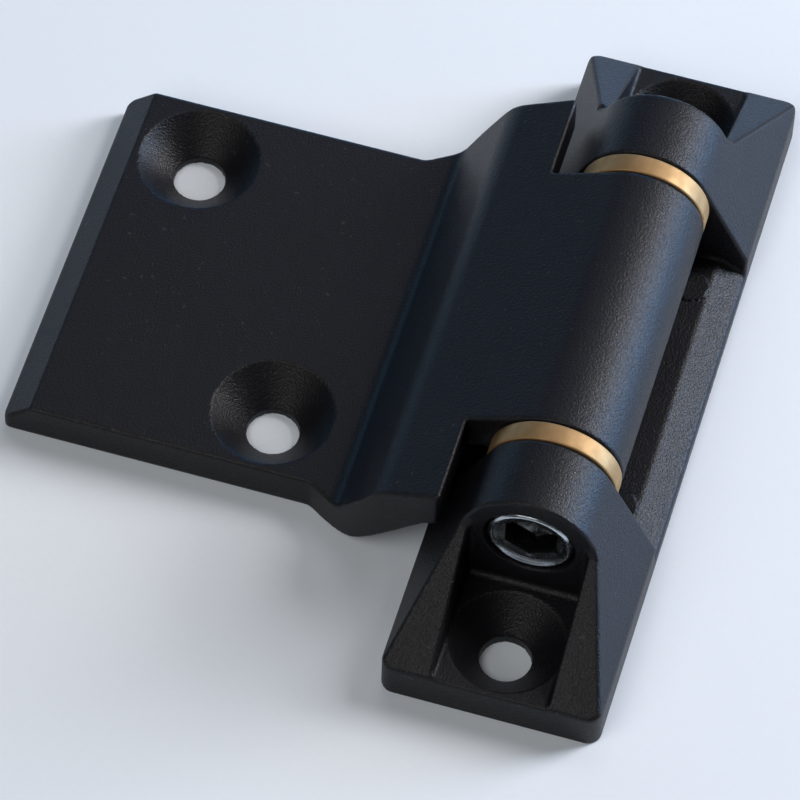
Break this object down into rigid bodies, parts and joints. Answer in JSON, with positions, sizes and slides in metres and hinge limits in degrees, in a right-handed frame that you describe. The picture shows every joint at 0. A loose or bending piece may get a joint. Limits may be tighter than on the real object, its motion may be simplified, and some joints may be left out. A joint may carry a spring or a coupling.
{
  "type": "cranked block hinge",
  "caption": "Heavy-duty cast block hinge with a cranked door leaf, a ramped frame leaf, a socket-headed pin and brass thrust washers.",
  "frame": {"origin": "centre of the frame leaf's mounting face, below the middle of the hinge pin", "axes": "+Z out of the mounting plane, +Y along the pin towards the pin screw's head, +X away from the door leaf"},
  "size_m": [0.0752, 0.0872, 0.0207],
  "materials": {
    "powder_coat": "fine-textured satin black powder coat on die-cast metal",
    "pin_steel": "turned steel with a bright chamfer and a dark socket",
    "washer_brass": "turned brass with fine lines and slightly darker ends",
    "bush_brass": "plain bearing brass"
  },
  "bodies": {
    "frame": {"frame_leaf": "powder_coat", "pin_sleeve": "pin_steel", "pin_screw": "pin_steel", "front_thrust_washer": "washer_brass", "rear_thrust_washer": "washer_brass"},
    "leaf": {"door_leaf": "powder_coat", "front_bush": "bush_brass", "rear_bush": "bush_brass"}
  },
  "joints": [
    {"name": "leaf_swing", "type": "hinge", "parent": "frame", "child": "leaf", "pos_m": [0, 0, 0.0132], "axis": [0, 1, 0], "range_deg": [0, 180]}
  ]
}
